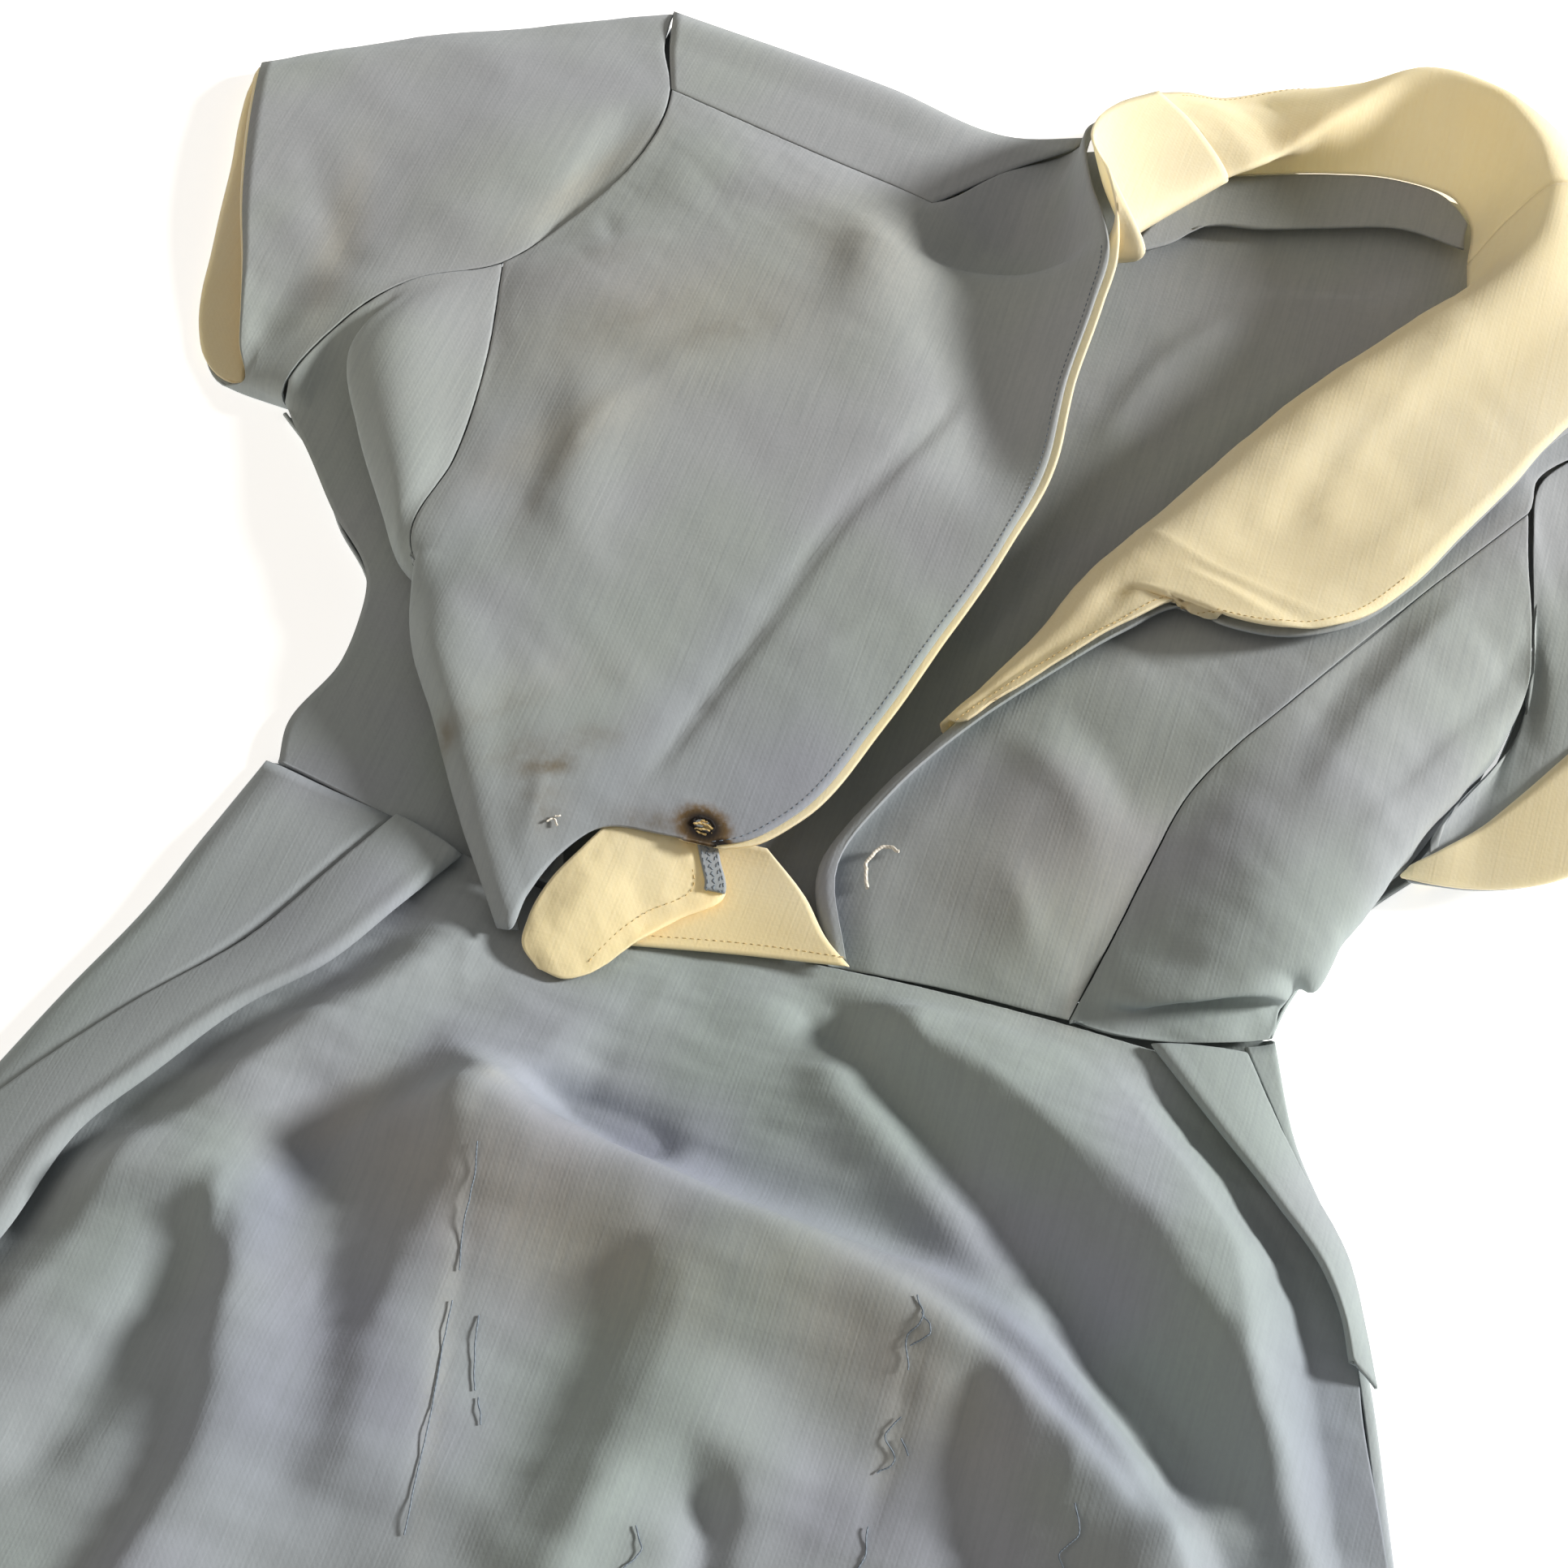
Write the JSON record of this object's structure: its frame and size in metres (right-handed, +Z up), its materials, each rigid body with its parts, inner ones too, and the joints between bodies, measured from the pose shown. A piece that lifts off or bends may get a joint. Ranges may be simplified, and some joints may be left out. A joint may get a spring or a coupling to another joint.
{
  "type": "waitress dress",
  "caption": "Short-sleeved button-front waitress dress with turned cream collar, lapels and cuffs, lying open on its back",
  "frame": {"origin": "on the flat underside at the middle of the back waist", "axes": "+Y from the skirt to the collar along the dress, +Z up off the surface it lies on, +X towards the wearer's left"},
  "size_m": [0.796, 1.1626, 0.064],
  "materials": {
    "blue_twill": "matte woven cotton blend with a fine rib",
    "cream_twill": "matte smooth woven cotton blend"
  },
  "bodies": {
    "root": {"back_neck_facing": "blue_twill", "bodice_back": "blue_twill", "collar": "cream_twill", "cuff_left": "cream_twill", "cuff_right": "cream_twill", "facing_left": "cream_twill", "facing_right": "cream_twill", "front_left": "blue_twill", "front_right": "blue_twill", "placket_facing_right": "cream_twill", "side_front_left": "blue_twill", "side_front_right": "blue_twill", "skirt_back": "blue_twill", "skirt_front": "blue_twill", "skirt_side_left": "blue_twill", "skirt_side_right": "blue_twill", "sleeve_left": "blue_twill", "sleeve_right": "blue_twill", "waist_facing_right": "cream_twill", "waist_seam_tape": "blue_twill"}
  },
  "joints": []
}
